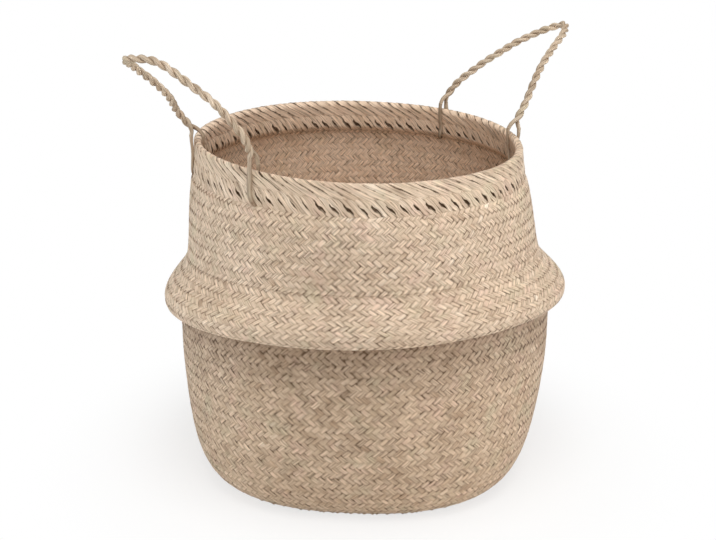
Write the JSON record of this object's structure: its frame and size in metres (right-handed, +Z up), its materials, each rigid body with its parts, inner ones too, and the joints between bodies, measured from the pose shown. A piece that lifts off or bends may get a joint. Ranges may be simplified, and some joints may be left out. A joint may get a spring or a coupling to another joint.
{
  "type": "belly basket",
  "caption": "Plaited sedge basket with a belly that folds at mid height, a turned-over rim band and two twisted rope handles that swing.",
  "frame": {"origin": "on the floor under the centre of the base mat, on the basket's upright axis", "axes": "+Z up out of the mouth, +X towards the right handle, Y along the lines that the handles swing about"},
  "size_m": [0.4729, 0.39, 0.4239],
  "materials": {
    "pale_sedge": "matte",
    "warm_sedge": "matte",
    "rope_sedge": "matte"
  },
  "bodies": {
    "lower_basket": {"base_mat": "warm_sedge", "lower_wall": "warm_sedge"},
    "upper_basket": {"belly_fold": "pale_sedge", "neck_wall": "pale_sedge", "rim_band": "pale_sedge", "left_front_lashing": "rope_sedge", "left_back_lashing": "rope_sedge", "right_front_lashing": "rope_sedge", "right_back_lashing": "rope_sedge"},
    "left_handle": {"left_handle_rope": "rope_sedge"},
    "right_handle": {"right_handle_rope": "rope_sedge"}
  },
  "joints": [
    {"name": "belly_fold_slide", "type": "slide", "parent": "lower_basket", "child": "upper_basket", "axis": [0, 0, 1], "range_m": [-0.018, 0.012]},
    {"name": "left_handle_swing", "type": "hinge", "parent": "upper_basket", "child": "left_handle", "pos_m": [-0.13687, 0, 0.3305], "axis": [0, -1, 0], "range_deg": [-115.4, 54.6]},
    {"name": "right_handle_swing", "type": "hinge", "parent": "upper_basket", "child": "right_handle", "pos_m": [0.13687, 0, 0.3305], "axis": [0, 1, 0], "range_deg": [-122.2, 47.8]}
  ]
}
